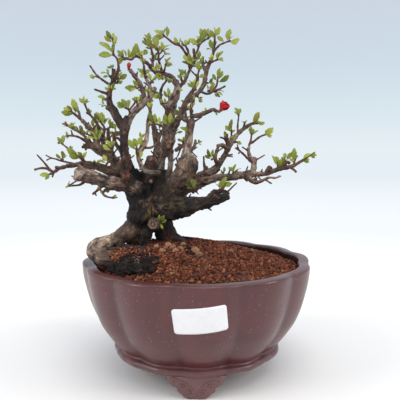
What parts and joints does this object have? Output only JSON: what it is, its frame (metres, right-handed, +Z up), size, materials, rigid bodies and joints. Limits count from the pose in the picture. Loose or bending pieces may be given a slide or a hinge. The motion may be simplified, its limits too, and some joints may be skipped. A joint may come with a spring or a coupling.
{
  "type": "flowering quince bonsai",
  "caption": "Flowering quince bonsai with a thick twisted trunk, young leaf rosettes, a red flower and bud, in a lobed dark clay pot on cloud-shaped feet.",
  "frame": {"origin": "on the ground under the middle of the whole plant, 19 mm to the left of the pot's axis", "axes": "+X to the right and +Y to the back as the plant is shown from its front, +Z up"},
  "size_m": [0.2471, 0.204, 0.3079],
  "materials": {
    "pot_clay": "satin",
    "baked_clay_grains": "matte",
    "bark": "matte",
    "young_leaves": "satin",
    "petals": "satin",
    "stamens": "matte",
    "label_paper": "satin",
    "screen_plastic": "matte",
    "clip_wire": "satin"
  },
  "bodies": {
    "root": {"bloom": "petals", "bloom_stamens": "stamens", "bud": "petals", "drain_screen": "screen_plastic", "label": "label_paper", "pot": "pot_clay", "screen_clip": "clip_wire", "soil": "baked_clay_grains", "spray_arc_front": "young_leaves", "spray_arc_top": "young_leaves", "spray_back_left": "young_leaves", "spray_back_low_left": "young_leaves", "spray_back_low_right": "young_leaves", "spray_back_post": "young_leaves", "spray_back_post_fork": "young_leaves", "spray_back_right": "young_leaves", "spray_centre": "young_leaves", "spray_centre_left": "young_leaves", "spray_crown_bridge": "young_leaves", "spray_crown_left": "young_leaves", "spray_crown_left_rise": "young_leaves", "spray_crown_middle": "young_leaves", "spray_inner_right": "young_leaves", "spray_left_arc": "young_leaves", "spray_left_bright": "young_leaves", "spray_left_crown_in": "young_leaves", "spray_left_crown_tip": "young_leaves", "spray_left_dark": "young_leaves", "spray_left_high_tip": "young_leaves", "spray_left_low": "young_leaves", "spray_left_mid": "young_leaves", "spray_left_post": "young_leaves", "spray_left_post_in": "young_leaves", "spray_left_tip": "young_leaves", "spray_link": "young_leaves", "spray_long_right_mid": "young_leaves", "spray_long_right_tip": "young_leaves", "spray_low_bud": "young_leaves", "spray_low_right": "young_leaves", "spray_peak_left": "young_leaves", "spray_peak_middle": "young_leaves", "spray_peak_right": "young_leaves", "spray_peak_stem": "young_leaves", "spray_reach_base": "young_leaves", "spray_reach_low": "young_leaves", "spray_reach_pale": "young_leaves", "spray_right_crown_out": "young_leaves", "spray_right_crown_side": "young_leaves", "spray_right_crown_tip": "young_leaves", "spray_right_crown_top": "young_leaves", "spray_right_low_crown": "young_leaves", "spray_riser": "young_leaves", "spray_swollen_top": "young_leaves", "spray_top_left": "young_leaves", "spray_top_left_in": "young_leaves", "spray_trunk_right": "young_leaves", "spray_under": "young_leaves", "spray_upright_leaf": "young_leaves", "spray_upright_tip": "young_leaves", "tree_wood": "bark"}
  },
  "joints": []
}
